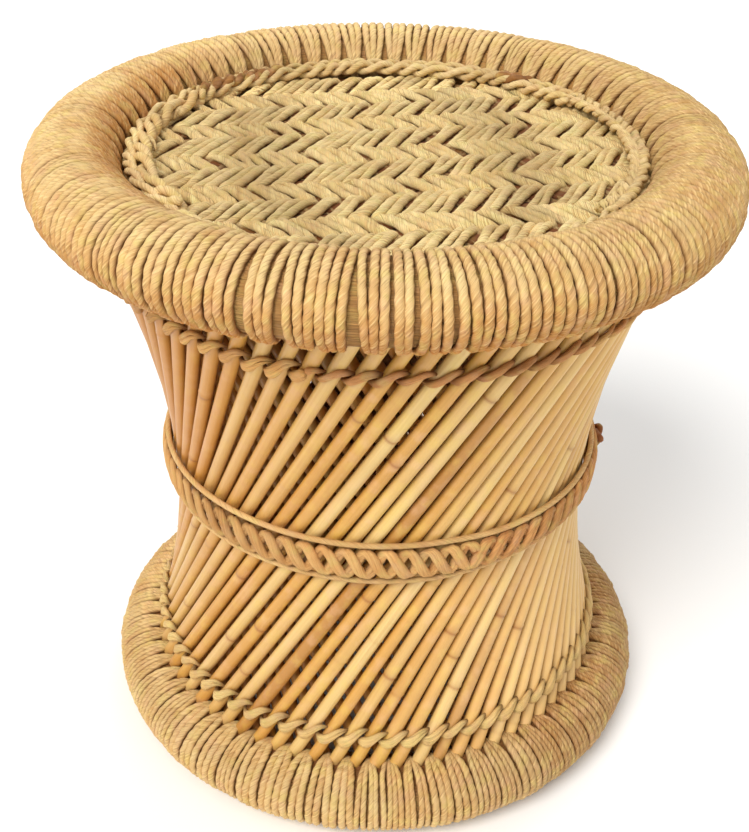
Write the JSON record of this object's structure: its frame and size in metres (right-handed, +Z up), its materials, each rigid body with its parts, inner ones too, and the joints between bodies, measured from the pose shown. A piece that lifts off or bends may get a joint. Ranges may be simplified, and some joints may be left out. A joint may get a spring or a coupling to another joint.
{
  "type": "mudda stool",
  "caption": "Waisted drum stool of crossing straight reeds between two thick rope-wound rims, with a woven rope seat and a plaited band round the waist.",
  "frame": {"origin": "on the floor, on the stool's upright axis", "axes": "+Z up along the axis, -Y towards the front of the picture, +X to the right"},
  "size_m": [0.4114, 0.4114, 0.406],
  "materials": {
    "outer_reed": "smooth dried reed with a natural sheen",
    "inner_reed": "smooth dried reed",
    "straw_rope": "hand-twisted straw rope",
    "seat_rope": "hand-twisted straw rope, woven",
    "golden_cord": "fine twisted cord",
    "pale_straw": "flat straw, twisted by hand",
    "dark_knot": "dark cord end, knotted",
    "bundled_grass": "dry grass, bundled"
  },
  "bodies": {
    "root": {"outer_reeds_01": "outer_reed", "outer_reeds_02": "outer_reed", "outer_reeds_03": "outer_reed", "outer_reeds_04": "outer_reed", "outer_reeds_05": "outer_reed", "outer_reeds_06": "outer_reed", "outer_reeds_07": "outer_reed", "outer_reeds_08": "outer_reed", "outer_reeds_09": "outer_reed", "outer_reeds_10": "outer_reed", "outer_reeds_11": "outer_reed", "outer_reeds_12": "outer_reed", "outer_reeds_13": "outer_reed", "outer_reeds_14": "outer_reed", "outer_reeds_15": "outer_reed", "outer_reeds_16": "outer_reed", "outer_reeds_17": "outer_reed", "outer_reeds_18": "outer_reed", "inner_reeds_01": "inner_reed", "inner_reeds_02": "inner_reed", "inner_reeds_03": "inner_reed", "inner_reeds_04": "inner_reed", "inner_reeds_05": "inner_reed", "inner_reeds_06": "inner_reed", "inner_reeds_07": "inner_reed", "inner_reeds_08": "inner_reed", "inner_reeds_09": "inner_reed", "inner_reeds_10": "inner_reed", "inner_reeds_11": "inner_reed", "inner_reeds_12": "inner_reed", "inner_reeds_13": "inner_reed", "inner_reeds_14": "inner_reed", "inner_reeds_15": "inner_reed", "inner_reeds_16": "inner_reed", "inner_reeds_17": "inner_reed", "inner_reeds_18": "inner_reed", "top_rim_core": "bundled_grass", "bottom_rim_core": "bundled_grass", "top_rim_winding": "straw_rope", "bottom_rim_winding": "straw_rope", "seat_web": "seat_rope", "seat_border_plait": "seat_rope", "upper_twining": "golden_cord", "waist_upper_cord": "golden_cord", "waist_plait": "golden_cord", "waist_lower_cord": "golden_cord", "lower_twining": "pale_straw", "waist_knot": "dark_knot"}
  },
  "joints": []
}
